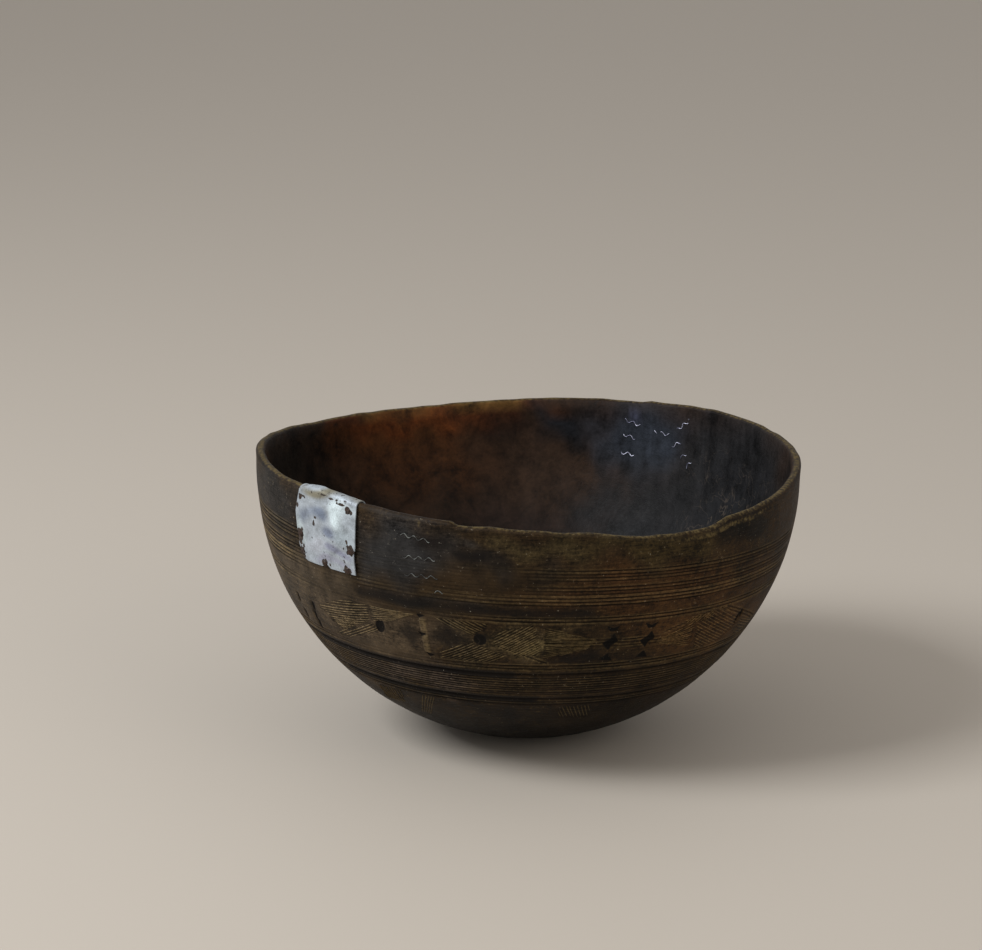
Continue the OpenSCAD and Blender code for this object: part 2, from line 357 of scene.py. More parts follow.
def to_segment(azimuth, height, start, end):
    """Distance in mm to a straight line between two points of the drawing."""
    mid = (start[0] + end[0]) / 2
    x = turn_between(azimuth, mid) * MM_PER_DEG
    ax, ay, bx, by = (start[0] - mid) * MM_PER_DEG, start[1], (end[0] - mid) * MM_PER_DEG, end[1]
    along = ((x - ax) * (bx - ax) + (height - ay) * (by - ay)) / ((bx - ax) ** 2 + (by - ay) ** 2)
    t = np.clip(along, 0, 1)
    return np.hypot(x - ax - t * (bx - ax), height - ay - t * (by - ay))


def to_outline(azimuth, height, corners):
    """Signed distance in mm to a closed outline: negative inside."""
    mid = sum(a for a, _ in corners) / len(corners)
    x = turn_between(azimuth, mid)
    inside = np.zeros(np.broadcast(x, height).shape, bool)
    nearest = np.full(inside.shape, np.inf)
    for (a0, h0), (a1, h1) in zip(corners, corners[1:] + corners[:1]):
        nearest = np.minimum(nearest, to_segment(azimuth, height, (a0, h0), (a1, h1)))
        if h0 != h1:
            crossing = (a0 - mid) + (a1 - a0) * (height - h0) / (h1 - h0)
            inside ^= ((h0 > height) != (h1 > height)) & (x < crossing)
    return np.where(inside, -nearest, nearest)


def near_drawing(corners, height, room=4):
    """Whether a row of the drawing comes near an outline at all."""
    heights = [h for _, h in corners]
    return min(heights) - room < height < max(heights) + room


# %% [markdown]
# ## Relief of the outside
#
# `carve` gives, for every vertex of a row, how far the surface lies outside the smooth round, and the
# masks that the wood's finish reads: `groove` for grime in the cuts, `wear` for edges rubbed bright, with
# a painted highlight on the edges towards the key light, `burn` for the hot iron, `smoke` for darkened
# ground,
# `field` for the hatched ground, `grease` where lines are filled and `scuff` where it is scratched. The wood
# lies flat under the tin patch.

# %% Carve the outside
PATCH_AZ = -135.8
PATCH_TURN = math.degrees(55 / BOWL_R)
PATCH_BOTTOM = 138.5
hollows, adze_marks = Wander(11, 7, 40), Wander(12, 40, 9)
knife_bite, knife_slip = Wander(13, 23, 1.0), Wander(14, 31, 1.0)
CRACKS = [(-112.9, 139.0, 183.0)]  # azimuth, lowest and highest height
GREASY = [  # where grease fills the lines: azimuth, height, half sizes
    (-114, 152, 17, 24), (-98, 150, 12, 14), (-128, 124, 28, 8), (-136, 136, 12, 12), (-128, 88.5, 26, 4)]


def under_patch(azimuth, height):
    """1 where the tin covers the wood, fading to 0 just outside it."""
    across = soft((PATCH_TURN / 2 + 2.5 - np.abs(turn_between(azimuth, PATCH_AZ))) / 1.5)
    return across * soft((height - PATCH_BOTTOM + 4) / 4)


def spots(azimuth, height, places):
    """1 inside any of the soft round spots, 0 outside them."""
    found = 0
    for az, h, half_az, half_h in places:
        far = np.hypot(turn_between(azimuth, az) / half_az, (height - h) / half_h)
        found = np.maximum(found, soft(1.4 - far))
    return found


def crack(azimuth, height, cracks):
    """How near each point is to a crack, from 0 to 1."""
    deep = 0
    for az, bottom, top in cracks:
        off = np.abs(turn_between(azimuth, az + 0.1 * knife_slip(height * 9.0)))
        ends = soft((height - bottom) / 9) * soft((top - height) / 6)
        deep = np.maximum(deep, np.clip(1 - off / 0.3, 0, 1) * ends)
    return deep


def carve(azimuth, drawn):
    """(relief in mm, masks) of one row of the outside."""
    height = level(azimuth, drawn)
    relief = 0.5 * hollows(azimuth, drawn) + 0.14 * adze_marks(azimuth, drawn)
    relief = relief * (1 - under_patch(azimuth, height)) - 0.3 * under_patch(azimuth, height)
    groove, wear, burn, smoke, field = (np.zeros_like(azimuth) for _ in range(5))
    grease = spots(azimuth, height, GREASY)
    bite = np.clip(1 + 0.35 * knife_bite(azimuth), 0.2, 1.5) * (1 - 0.7 * grease)
    # Rubbed edges are made up to 2.2 times as bright on the side towards the key light, below azimuth -147
    # and above 130 mm: a painted highlight on the real wear. Grease dulls them.
    bright = (1 - 0.9 * grease) * (1 + 1.2 * soft((-147 - azimuth) / 5) * (height > 130))
    for line, (depth, half, rub) in LINES.items():
        off = np.abs(drawn - line)
        cut = np.clip(1 - off / half, 0, 1) * bite
        relief -= depth * cut
        groove = np.maximum(groove, cut)
        edge = np.clip(1.35 - np.abs(off - half) / half, 0, 1) * (off >= half)
        wear = np.maximum(wear, rub * edge * bright)
    for corners, _, _ in HATCHED + FANS:
        if near_drawing(corners, drawn):
            field = np.maximum(field, soft(0.5 - to_outline(azimuth, drawn, corners) / 1.2))
    relief -= 0.35 * field
    for az, h, half_az, half_h, slant in OVALS:
        x = turn_between(azimuth, az)
        pit = np.clip(0.5 + (1 - np.hypot(x / half_az, (drawn - h - slant * x) / half_h)) * 1.4, 0, 1)
        relief -= 1.0 * pit
        burn = np.maximum(burn, pit)
    for corners in BURNT:
        if near_drawing(corners, drawn):
            pit = np.clip(0.5 - to_outline(azimuth, drawn, corners) / 1.6, 0, 1)
            relief -= 1.0 * pit
            burn = np.maximum(burn, pit)
    for corners, edge, dark in SMOKED:
        if near_drawing(corners, drawn, 2 * edge):
            smoke = np.maximum(smoke, dark * soft(0.5 - to_outline(azimuth, drawn, corners) / edge / 2))
    for az, half, bottom, top in BARS:
        bar = soft((half - np.abs(turn_between(azimuth, az))) * MM_PER_DEG / 0.8 + 0.5)
        bar = bar * soft((drawn - bottom) / 1.5) * soft((top - drawn) / 1.5)
        relief += 0.45 * bar
        wear = np.maximum(wear, bar)
    for start, end in SCORES:
        if near_drawing((start, end), drawn):
            off = to_segment(azimuth, drawn, start, end)
            relief -= 0.5 * np.clip(1 - off / 0.7, 0, 1)
            groove = np.maximum(groove, np.clip(1 - off / 0.7, 0, 1))
            wear = np.maximum(wear, 0.95 * np.clip(1.6 - np.abs(off - 0.7) / 0.6, 0, 1) * (off >= 0.7))
    split = crack(azimuth, height, CRACKS)
    relief -= 0.2 * split
    groove = np.maximum(groove, 0.3 * split)
    groove = groove * (1 - 0.6 * grease)
    scuff = spots(azimuth, height, SCUFFED)
    return relief, {"groove": groove, "wear": wear * (1 - burn), "burn": burn, "smoke": smoke,
                    "field": field, "grease": grease, "scuff": scuff}


# %% [markdown]
# ## Patina and painted light
#
# Smoke, hands and oil have coloured the wood in broad patches. Some patches are painted sheen, warm light
# and shade instead. Each is a soft spot in azimuth and height with its own colour. Painting them on the
# vertices keeps them with the bowl from every side.

# %% Stains and painted light outside and inside
# (azimuth, height, half width in degrees, half height in mm, colour as seen, strength)
OUTSIDE_GROUND = (0.17, 0.125, 0.07)
OUTSIDE_STAINS_AND_SHEEN = [
    # The next three grey spots, left of and below the patch and to its right, are painted sheen: a grey
    # reflection of the light on the dark wood.
    (-158, 172, 22, 22, (0.145, 0.138, 0.135), 0.88),
    (-152, 120, 22, 34, (0.29, 0.25, 0.20), 0.8),
    (-118, 163, 13, 28, (0.15, 0.15, 0.152), 0.92),
    (-97, 160, 8, 14, (0.13, 0.112, 0.095), 0.8),
    (-102, 173, 3.4, 4, (0.20, 0.18, 0.16), 0.8),
    (-112, 130, 12, 4, (0.10, 0.09, 0.08), 0.8),
    (-128, 102, 26, 24, (0.29, 0.245, 0.19), 0.75),
    (-120, 74, 24, 12, (0.255, 0.22, 0.20), 0.75),
    (-92, 105, 13, 12, (0.33, 0.28, 0.19), 0.8),
    (-89.5, 103, 3.5, 5, (0.44, 0.39, 0.26), 0.45),
    (-108, 106, 8, 14, (0.17, 0.14, 0.105), 0.7),
    (-78, 94, 9, 7, (0.11, 0.075, 0.05), 0.85),
    (-45, 110, 22, 20, (0.26, 0.175, 0.09), 0.85),
    (-60, 140, 30, 18, (0.225, 0.145, 0.07), 0.85),
    (-83, 174, 12, 10, (0.22, 0.185, 0.11), 0.75),
    (-62, 172, 14, 10, (0.215, 0.175, 0.095), 0.75),
    (-43, 174, 9, 9, (0.075, 0.06, 0.045), 0.9),
    (-20, 150, 18, 50, (0.155, 0.098, 0.042), 0.8),
    (-64, 66, 34, 16, (0.125, 0.085, 0.055), 0.85),
    (-70, 44, 60, 18, (0.115, 0.09, 0.065), 0.8),
    (-90, 14, 180, 26, (0.045, 0.036, 0.028), 0.92),
    (70, 120, 70, 60, (0.185, 0.13, 0.08), 0.6),
    (150, 90, 60, 60, (0.21, 0.16, 0.105), 0.6),
]
INSIDE_GROUND = (0.16, 0.11, 0.075)
INSIDE_STAINS_LIGHT_AND_SHADE = [
    # The next four blue-grey spots on the right of the inside are painted reflection: a cool sheen where the
    # wall faces the key light.
    (30, 150, 36, 60, (0.11, 0.115, 0.122), 0.9),
    (62, 168, 12, 30, (0.15, 0.17, 0.20), 0.85),
    (56, 108, 26, 34, (0.105, 0.105, 0.11), 0.85),
    (80, 168, 9, 12, (0.075, 0.09, 0.11), 0.85),
    (98, 168, 8, 10, (0.10, 0.065, 0.045), 0.8),
    # The next seven warm spots, high on the back of the inside towards the left, are orange-brown wood with
    # painted warm light on it.
    (92, 182, 12, 7, (0.21, 0.115, 0.07), 0.8),
    (113, 184, 26, 6, (0.36, 0.26, 0.12), 0.8),
    (117, 172, 18, 12, (0.37, 0.185, 0.065), 0.85),
    (124, 158, 10, 10, (0.25, 0.15, 0.065), 0.7),
    (135, 174, 8, 8, (0.28, 0.14, 0.055), 0.8),
    (118, 146, 20, 30, (0.25, 0.145, 0.065), 0.7),
    (140, 166, 9, 16, (0.22, 0.12, 0.05), 0.7),
    # Painted shade: the inside of the left wall, turned away from the key light, is painted near-black.
    (162, 150, 16, 40, (0.07, 0.058, 0.042), 0.9),
    (84, 130, 14, 26, (0.17, 0.12, 0.085), 0.6),
    (63.8, 177, 2.2, 5, (0.36, 0.37, 0.47), 0.6),
    (-100, 150, 50, 60, (0.14, 0.105, 0.08), 0.6),
    (0, 40, 180, 26, (0.10, 0.08, 0.065), 0.8),
    # The next two dark spots are painted shade low on the inside, where the key light falls on the wall.
    (46, 86, 30, 26, (0.075, 0.08, 0.088), 0.9),
    (92, 92, 24, 26, (0.115, 0.082, 0.068), 0.85),
    (24, 130, 20, 40, (0.085, 0.088, 0.095), 0.7),
]
drift_round, drift_up = Wander(21, 34, 12), Wander(22, 34, 12)


def linear(colour):
    """A colour as seen, to scene-linear."""
    c = np.asarray(colour, float)
    return np.where(c <= 0.04045, c / 12.92, ((c + 0.055) / 1.055) ** 2.4)


def stain(azimuth, height, ground, stains):
    """Colour of the patina and painted light at each point, scene-linear."""
    colour = np.broadcast_to(linear(ground), azimuth.shape + (3,)).copy()
    for az, h, half_az, half_h, tint, strength in stains:
        x = (turn_between(azimuth, az) + 0.7 * min(half_az, 7) * drift_round(azimuth, height)) / half_az
        y = (height - h + 0.7 * min(half_h, 7) * drift_up(azimuth, height)) / half_h
        mix = (strength * soft(1.35 - np.hypot(x, y)))[..., None]
        colour = colour * (1 - mix) + linear(tint) * mix
    return colour


# %% [markdown]
# ## The wood as one mesh
#
# The wall is built ring by ring: up the inside from its lowest point, over the rounded lip, and down
# the outside to the foot. Outside, the rows follow the engraved lines, three to a line, so each cut
# has crisp sides; the frieze gets rows and columns a millimetre apart, and plain wood far fewer. Where
# the number of columns changes, each wide face takes the extra corners, so the mesh stays closed.

# %% Columns and rows
WIDE, FINE_SHARE = 330, 3
CLOSE_COLUMNS = [-113.2, -112.9, -112.6, -106.2, -105.4, 49.75, 50.0, 50.25, 63.75, 64.0, 64.25]  # by cracks
wide_az = np.unique(np.concatenate([np.arange(WIDE) * 360 / WIDE - 180, CLOSE_COLUMNS]))
next_az = np.append(wide_az[1:], wide_az[0] + 360)
fine_az = np.concatenate([wide_az + (next_az - wide_az) * k / FINE_SHARE for k in range(FINE_SHARE)])
fine_az = np.sort(fine_az)


def drawing_rows():
    """Heights in the drawing from the lip down to the foot, and whether each row is fine."""
    marks = set()
    for height, (_, half, _) in LINES.items():
        marks |= {round(height + half, 2), height, round(height - half, 2)}
    plain = list(np.linspace(TOP, HEM, 14)) + [149.0, 131.5, 129.0, 127.0, 84.7, 63.6]
    plain += list(np.arange(54.5, 27, -1.7)) + list(np.arange(26, 9, -2.5)) + [7.5, 5.5, 4, 2.8, 2, 1.2, 0.5]
    rows = [(h, False) for h in marks | set(plain)] + [(h, True) for h in np.linspace(*FRIEZE, 34)]
    return sorted(rows, reverse=True)


rows = drawing_rows()
print(len(wide_az), "wide columns,", len(rows), "rows in the drawing")

# %% Rings and the faces between them
MASKS = ("groove", "wear", "burn", "smoke", "field", "grease", "scuff", "lip", "inside")


class Wall:
    """Collects rings of vertices and joins each to the one before."""

    def __init__(self):
        self.points, self.tints, self.faces, self.last, self.count = [], [], [], None, 0
        self.masks = {name: [] for name in MASKS}

    def ring(self, points, tint, **masks):
        """Adds a ring and the faces back to the ring before it."""
        n = len(points)
        self.points.append(points)
        self.tints.append(tint)
        for name in MASKS:
            self.masks[name].append(np.broadcast_to(masks.get(name, 0.0), (n,)))
        new = list(range(self.count, self.count + n))
        self.count += n
        if self.last:
            self._join(new, self.last)
        self.last = new

    def _join(self, new, old):
        a, b = len(new), len(old)
        n = min(a, b)
        for i in range(n):
            outer = [new[(i * a // n + k) % a] for k in range(a // n + 1)] if a > 1 else [new[0]]
            inner = [old[(i * b // n + k) % b] for k in range(b // n + 1)] if b > 1 else [old[0]]
            self.faces.append(inner + outer[::-1])

    def _fan(self, tip, ring, outwards):
        for i in range(len(ring)):
            pair = [ring[i], ring[(i + 1) % len(ring)]]
            self.faces.append([tip] + (pair if outwards else pair[::-1]))

    def start(self, point, tint, **masks):
        """The pole that the first ring closes on."""
        self.ring(point, tint, **masks)
        self.last = None
        return self.count - 1


# %% Up the inside, over the lip, down the outside
INSIDE_ROWS = 34
INSIDE_CRACKS = [(64.0, 138.0, 191.0), (50.0, 132.0, 180.0)]
scrape, fibre_wave = Wander(31, 9, 35), Wander(32, 45, 60)
thick_wander = Wander(33, 9, 1.0)
wall = Wall()
pole = wall.start(polar(np.zeros(1), 0.0, FLOOR_WALL), linear(INSIDE_GROUND)[None, :], inside=1.0)
for i in range(1, INSIDE_ROWS + 1):
    rise = 1 - math.cos(math.pi / 2 * i / INSIDE_ROWS)
    z = FLOOR_WALL + (rim_z(wide_az) - lip_drop(wide_az) - FLOOR_WALL) * rise
    calm = 1 - under_patch(wide_az, z + 20)
    rough = (0.5 * scrape(wide_az, z) + 0.18 * fibre_wave(wide_az, z)) * min(1, i / 6) * calm
    split = crack(wide_az, z, INSIDE_CRACKS)
    wall.ring(polar(wide_az, wall_r(z) + rough * (i < INSIDE_ROWS) + 0.4 * split, z),
              stain(wide_az, z, INSIDE_GROUND, INSIDE_STAINS_LIGHT_AND_SHADE), inside=1.0, groove=0.3 * split,
              scuff=spots(wide_az, z, SCUFFED))
    if i == 1:
        wall._fan(pole, wall.last, True)
lip_z = rim_z(wide_az)
half_wall = RIM_WALL / 2 - 0.25 * (1 - under_patch(wide_az, lip_z)) * (1 + thick_wander(wide_az))
for degrees in (155, 130, 110, 90, 70, 50, 25):
    t = math.radians(degrees)
    share = 0.5 + 0.5 * math.cos(t)
    z = lip_z - lip_drop(wide_az) * (1 - math.sin(t))
    tint = stain(wide_az, z, OUTSIDE_GROUND, OUTSIDE_STAINS_AND_SHEEN) * share
    tint += stain(wide_az, z, INSIDE_GROUND, INSIDE_STAINS_LIGHT_AND_SHADE) * (1 - share)
    wall.ring(polar(wide_az, BOWL_R - RIM_WALL / 2 + half_wall * math.cos(t), z), tint,
              lip=math.sin(t) * (1 - 0.75 * soft(1.3 - np.abs(wide_az + 122) / 17)), inside=1 - share)
for drawn, fine in rows:
    azimuth = fine_az if fine else wide_az
    z = level(azimuth, drawn)
    relief, masks = carve(azimuth, drawn)
    settle = min(1, (TOP - drawn) / 5, drawn / 12)
    lip = 0.3 * soft((drawn - 182) / 5) + 0.6 * hand_worn(azimuth) * soft((drawn - 180) / 6)
    wall.ring(polar(azimuth, outer_r(z) + relief * settle, z),
              stain(azimuth, z, OUTSIDE_GROUND, OUTSIDE_STAINS_AND_SHEEN), lip=lip, **masks)
last_ring = wall.last
wall.last = None
wall.ring(polar(np.zeros(1), 0.0, 0.2), linear(OUTSIDE_GROUND)[None, :])
wall._fan(wall.count - 1, last_ring, False)
print(wall.count, "vertices,", len(wall.faces), "faces in the wood")

# %% Make the mesh and flatten the worn foot


def mesh_object(name, points, faces, edges=()):
    mesh = bpy.data.meshes.new(name)
    mesh.from_pydata([tuple(p) for p in points], list(edges), faces)
    mesh.update()
    piece = bpy.data.objects.new(name, mesh)
    bpy.context.scene.collection.objects.link(piece)
    return piece


def shade_smooth(piece):
    piece.data.polygons.foreach_set("use_smooth", [True] * len(piece.data.polygons))


def paint(piece, name, values):
    """Stores one number or one colour per vertex."""
    if np.ndim(values) == 1:
        layer = piece.data.attributes.new(name, "FLOAT", "POINT")
        layer.data.foreach_set("value", values.astype(np.float32))
    else:
        layer = piece.data.attributes.new(name, "FLOAT_COLOR", "POINT")
        with_alpha = np.concatenate([values, np.ones((len(values), 1))], 1)
        layer.data.foreach_set("color", with_alpha.astype(np.float32).ravel())


def triangles(piece):
    piece.data.calc_loop_triangles()
    return len(piece.data.loop_triangles)


standing = stand(np.concatenate(wall.points))
standing[:, 2] = np.maximum(standing[:, 2], 0)
bowl = mesh_object("carved_bowl", standing, wall.faces)
shade_smooth(bowl)
for mask, parts in wall.masks.items():
    paint(bowl, mask, np.concatenate(parts))
paint(bowl, "stain", np.concatenate(wall.tints))
print("carved bowl:", triangles(bowl), "triangles")

# %% [markdown]
# ## A small language for node trees
#
# `Value` wraps a socket, so that masks and lengths can be written as sums and products. `Graph` adds
# any node through one method. `Finish` is a graph that makes a material, and `Recipe` is a graph that
# makes geometry and hands it back as a plain mesh.

# %% Values and graphs


class Value:
    """A socket that can be used in an expression of numbers."""

    def __init__(self, graph, socket):
        self.graph, self.socket = graph, socket

    def _operator(operation, swapped=False):
        """A method that adds a Math node, with its two sides swapped for the reflected form."""
        def combine(self, other):
            first, second = (other, self) if swapped else (self, other)
            return self.graph.node("ShaderNodeMath", {"operation": operation}, first, second)
        return combine

    __add__ = __radd__ = _operator("ADD")
    __mul__ = __rmul__ = _operator("MULTIPLY")
    __sub__ = _operator("SUBTRACT")
    __rsub__ = _operator("SUBTRACT", swapped=True)
    __truediv__ = _operator("DIVIDE")
    __rtruediv__ = _operator("DIVIDE", swapped=True)

    def clamp(self):
        return self.graph.node("ShaderNodeMath", {"operation": "MULTIPLY", "use_clamp": True}, self, 1.0)

    def above(self, edge, width):
        """0 below edge, 1 above edge + width, smooth between."""
        return self.graph.node("ShaderNodeMapRange", {"interpolation_type": "SMOOTHSTEP"},
                               self, edge, edge + width, 0.0, 1.0)


class Graph:
    """A node tree that nodes are added to."""

    def plug(self, socket, value):
        if isinstance(value, Value):
            self.tree.links.new(value.socket, socket)
        elif value is not None:
            socket.default_value = value

    def node(self, kind, settings, *inputs, output=0, **named):
        """Adds a node: its settings first, then its sockets in order or by name."""
        made = self.tree.nodes.new(kind)
        for key, value in settings.items():
            setattr(made, key, value)
        for socket, value in zip(made.inputs, inputs):
            self.plug(socket, value)
        for name, value in named.items():
            self.plug(made.inputs[name.replace("_", " ")], value)
        return Value(self, made.outputs[output])


class Finish(Graph):
    """One material with a Principled shader."""

    def __init__(self, name, settings):
        self.material = bpy.data.materials.new(name)
        self.material.use_nodes = True
        self.tree = self.material.node_tree
        self.shader = self.tree.nodes["Principled BSDF"]
        for key, value in settings.items():
            self.plug(self.shader.inputs[key], value)

    def set(self, name, value):
        self.plug(self.shader.inputs[name], value)

    def attribute(self, name, colour=False):
        return self.node("ShaderNodeAttribute", {"attribute_name": name}, output=0 if colour else 2)

    def noise(self, scale, detail=4.0, rough=0.55, stretch=(1, 1, 1), twist=0.0):
        where = self.node("ShaderNodeTexCoord", {}, output=3)
        where = self.node("ShaderNodeMapping", {}, Vector=where, Scale=stretch)
        return self.node("ShaderNodeTexNoise", {}, Vector=where, Scale=scale, Detail=detail,
                         Roughness=rough, Distortion=twist)

    def place(self, axis):
        """The object's own x, y or z."""
        where = self.node("ShaderNodeTexCoord", {}, output=3)
        return self.node("ShaderNodeSeparateXYZ", {}, where, output=axis)

    def scratches(self, scale, width, **shape):
        """Thin curved lines, where a slow noise crosses its middle."""
        slow = self.noise(scale, 2, 0.5, twist=0.8, **shape)
        off = self.node("ShaderNodeMath", {"operation": "ABSOLUTE"}, slow - 0.5)
        return 1 - off.above(0.0, width)

    def blend(self, share, first, second):
        """Mixes two colours, each a socket or three numbers."""
        colours = [(*c, 1) if isinstance(c, tuple) else c for c in (first, second)]
        made = self.node("ShaderNodeMix", {"data_type": "RGBA"}, share, output=2)
        for socket, colour in zip(made.socket.node.inputs[6:8], colours):
            self.plug(socket, colour)
        return made

    def bump(self, height, strength, distance):
        return self.node("ShaderNodeBump", {}, Strength=strength, Distance=distance, Height=height)


def tone(*colour):
    """A colour as seen, as a tuple in scene-linear."""
    return tuple(float(v) for v in linear(colour))


class Recipe(Graph):
    """A geometry tree with named inputs."""

    KINDS = {float: "NodeSocketFloat", tuple: "NodeSocketVector"}

    def __init__(self, name, **sizes):
        self.tree = bpy.data.node_groups.new(name, "GeometryNodeTree")
        self.tree.interface.new_socket("Geometry", in_out="INPUT", socket_type="NodeSocketGeometry")
        self.tree.interface.new_socket("Geometry", in_out="OUTPUT", socket_type="NodeSocketGeometry")
        self.tree.interface.new_socket("Wood", in_out="INPUT", socket_type="NodeSocketObject")
        self.tree.interface.new_socket("Material", in_out="INPUT", socket_type="NodeSocketMaterial")
        for label, size in sizes.items():
            made = self.tree.interface.new_socket(label, in_out="INPUT", socket_type=self.KINDS[type(size)])
            made.default_value = size
        self.inputs = self.tree.nodes.new("NodeGroupInput")

    def __getitem__(self, name):
        return Value(self, self.inputs.outputs[name])

    def vector(self, operation, *inputs, **named):
        return self.node("ShaderNodeVectorMath", {"operation": operation}, *inputs, **named)

    def place(self, x, y, z):
        """A point x, y and z along the three directions that seat a piece on the wood."""
        point = self["Place"]
        for step, way in ((x, "Along"), (y, "Across"), (z, "Out")):
            point = self.vector("ADD", point, self.vector("SCALE", self[way], Scale=step))
        return point

    def wood(self):
        return self.node("GeometryNodeObjectInfo", {}, Object=self["Wood"], output=4)

    def at_wood(self, kind, field):
        """What a field of the wood is worth at the nearest point of its surface."""
        here = self.node("GeometryNodeInputPosition", {})
        return self.node("GeometryNodeSampleNearestSurface", {"data_type": kind}, Mesh=self.wood(),
                         Value=field, Sample_Position=here)

    def close(self, geometry):
        """Ends the tree with Realize Instances and Set Material."""
        geometry = self.node("GeometryNodeRealizeInstances", {}, geometry)
        geometry = self.node("GeometryNodeSetMaterial", {}, Geometry=geometry, Material=self["Material"])
        self.tree.links.new(geometry.socket, self.tree.nodes.new("NodeGroupOutput").inputs[0])

    def make(self, piece, **values):
        """Runs the tree on a piece and leaves the result as its plain mesh."""
        modifier = piece.modifiers.new(self.tree.name, "NODES")
        modifier.node_group = self.tree
        for item in self.tree.interface.items_tree:
            if item.item_type == "SOCKET" and item.in_out == "INPUT" and item.name in values:
                modifier[item.identifier] = values[item.name]
        bpy.context.view_layer.update()
        evaluated = piece.evaluated_get(bpy.context.evaluated_depsgraph_get())
        mesh = bpy.data.meshes.new_from_object(evaluated)
        mesh.name = piece.name
        piece.modifiers.remove(modifier)
        piece.data = mesh
        shade_smooth(piece)
        return piece


# %% [markdown]
# ## The finish of the wood
#
# Patina, with painted sheen, warm light and shade in places, gives the broad colour. On it come fine
# streaks along the turning direction outside and up the wall inside, rubbed golden edges (with a painted
# highlight on the side towards the key light), black grime in the cuts, char where the iron burnt, and a lip
# worn back to paler wood in places.

# %% Carved wood


def carved_wood():
    f = Finish("carved_wood", {"Specular IOR Level": 0.1})
    groove, wear, burn = f.attribute("groove"), f.attribute("wear"), f.attribute("burn")
    smoke, grease = f.attribute("smoke"), f.attribute("grease")
    lip, inside, field = f.attribute("lip"), f.attribute("inside"), f.attribute("field")
    outside = 1 - inside
    # The vertex colour holds the patina and the painted sheen, warm light and shade.
    patina_and_light = f.attribute("stain", colour=True)
    grain, fine = f.noise(1150, 3, 0.6), f.noise(430, 4, 0.62)
    cloud, blotch = f.noise(95, 4, 0.6), f.noise(26, 5, 0.62)
    rings = f.noise(75, 5, 0.62, stretch=(1, 1, 12), twist=0.3)
    swirl, climbs = f.noise(42, 5, 0.66, twist=1.4), f.noise(34, 5, 0.62, stretch=(2.6, 2.6, 0.3), twist=0.5)
    right = f.place(0).above(0.0, 0.09)
    streak = rings * outside + (climbs * right + swirl * (1 - right)) * inside
    shade = (streak - 0.5) * (2.5 - outside * 0.1) + (fine - 0.5) * (1.2 + outside * 1.6)
    shade = shade + (grain - 0.5) * outside * 1.5
    shade = 1 + shade * (1 - grease * 0.65) + (cloud - 0.5) * 1.8 + (blotch - 0.5) * 2.3 - field * 0.3
    shade = f.node("ShaderNodeMath", {"operation": "MAXIMUM"}, shade, 0.25)
    colour = f.node("ShaderNodeVectorMath", {"operation": "SCALE"}, patina_and_light, Scale=shade)
    flecks = fine.above(0.57, 0.12) * cloud.above(0.45, 0.2) * outside
    colour = f.blend((flecks * (1 - grease) * 0.4).clamp(), colour, tone(0.38, 0.32, 0.19))
    lifted = f.node("ShaderNodeVectorMath", {"operation": "SCALE"}, patina_and_light, Scale=shade * 2.6)
    gold = f.blend(0.5, lifted, tone(0.45, 0.39, 0.26))
    # Rubbed gold on the edges; on the side towards the key light it is partly a painted highlight.
    rubbed = wear * (streak.above(0.36, 0.24) * 0.55 + 0.45) * (fine.above(0.38, 0.2) * 0.45 + 0.55)
    colour = f.blend((rubbed * 0.85 * outside).clamp(), colour, gold)
    colour = f.blend((groove * 0.9).clamp(), colour, tone(0.04, 0.03, 0.024))
    colour = f.blend((smoke * (0.95 + (cloud - 0.5) * 0.9)).clamp(), colour, tone(0.07, 0.058, 0.053))
    colour = f.blend(burn.above(0.36, 0.22) * 0.95, colour, tone(0.05, 0.046, 0.044))
    lip_worn = (lip * (fine * 0.7 + cloud * 0.5 + blotch * 0.5)).above(0.42, 0.4)
    olive = f.blend(fine.above(0.40, 0.2), tone(0.18, 0.145, 0.09), tone(0.37, 0.315, 0.195))
    colour = f.blend(lip_worn * 0.8, colour, olive)
    scratch = f.scratches(55, 0.012) + f.scratches(90, 0.01, stretch=(1, 1, 0.35))
    colour = f.blend((scratch * f.attribute("scuff") * blotch.above(0.4, 0.2) * 0.28).clamp(), colour,
                     tone(0.42, 0.37, 0.32))
    dust = (grain * fine).above(0.405, 0.03) * outside
    colour = f.blend(dust * 0.5, colour, tone(0.66, 0.64, 0.58))
    f.set("Base Color", colour)
    f.set("Roughness", (0.56 + (fine - 0.5) * 0.5 + groove * 0.25 + burn * 0.2).clamp())
    f.set("Normal", f.bump(fine * 0.6 + streak * 0.8 + cloud * 0.6 + grain * 0.3, 0.4, 0.001))
    return f.material


wood = carved_wood()
bowl.data.materials.append(wood)
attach(bowl, "root")
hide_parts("bowl")

# %% [markdown]
# ## Hatching
#
# The hatched fields are rows of shallow knife strokes, and what the eye sees is the ridge left between
# two strokes, rubbed golden. Cutting them into the wall would take a mesh many times finer, so each
# ridge is a thin raised stroke. Python clips the lines to each field; Geometry Nodes lay them on the
# wood, thin them towards both ends and read the patina and painted light under them.

# %% Lines clipped to each field
jitter = np.random.default_rng(41)


def flattened(corners):
    """An outline in mm on the wood, and the azimuth that it is measured from."""
    mid = sum(a for a, _ in corners) / len(corners)
    return np.array([((a - mid) * MM_PER_DEG, h) for a, h in corners]), mid


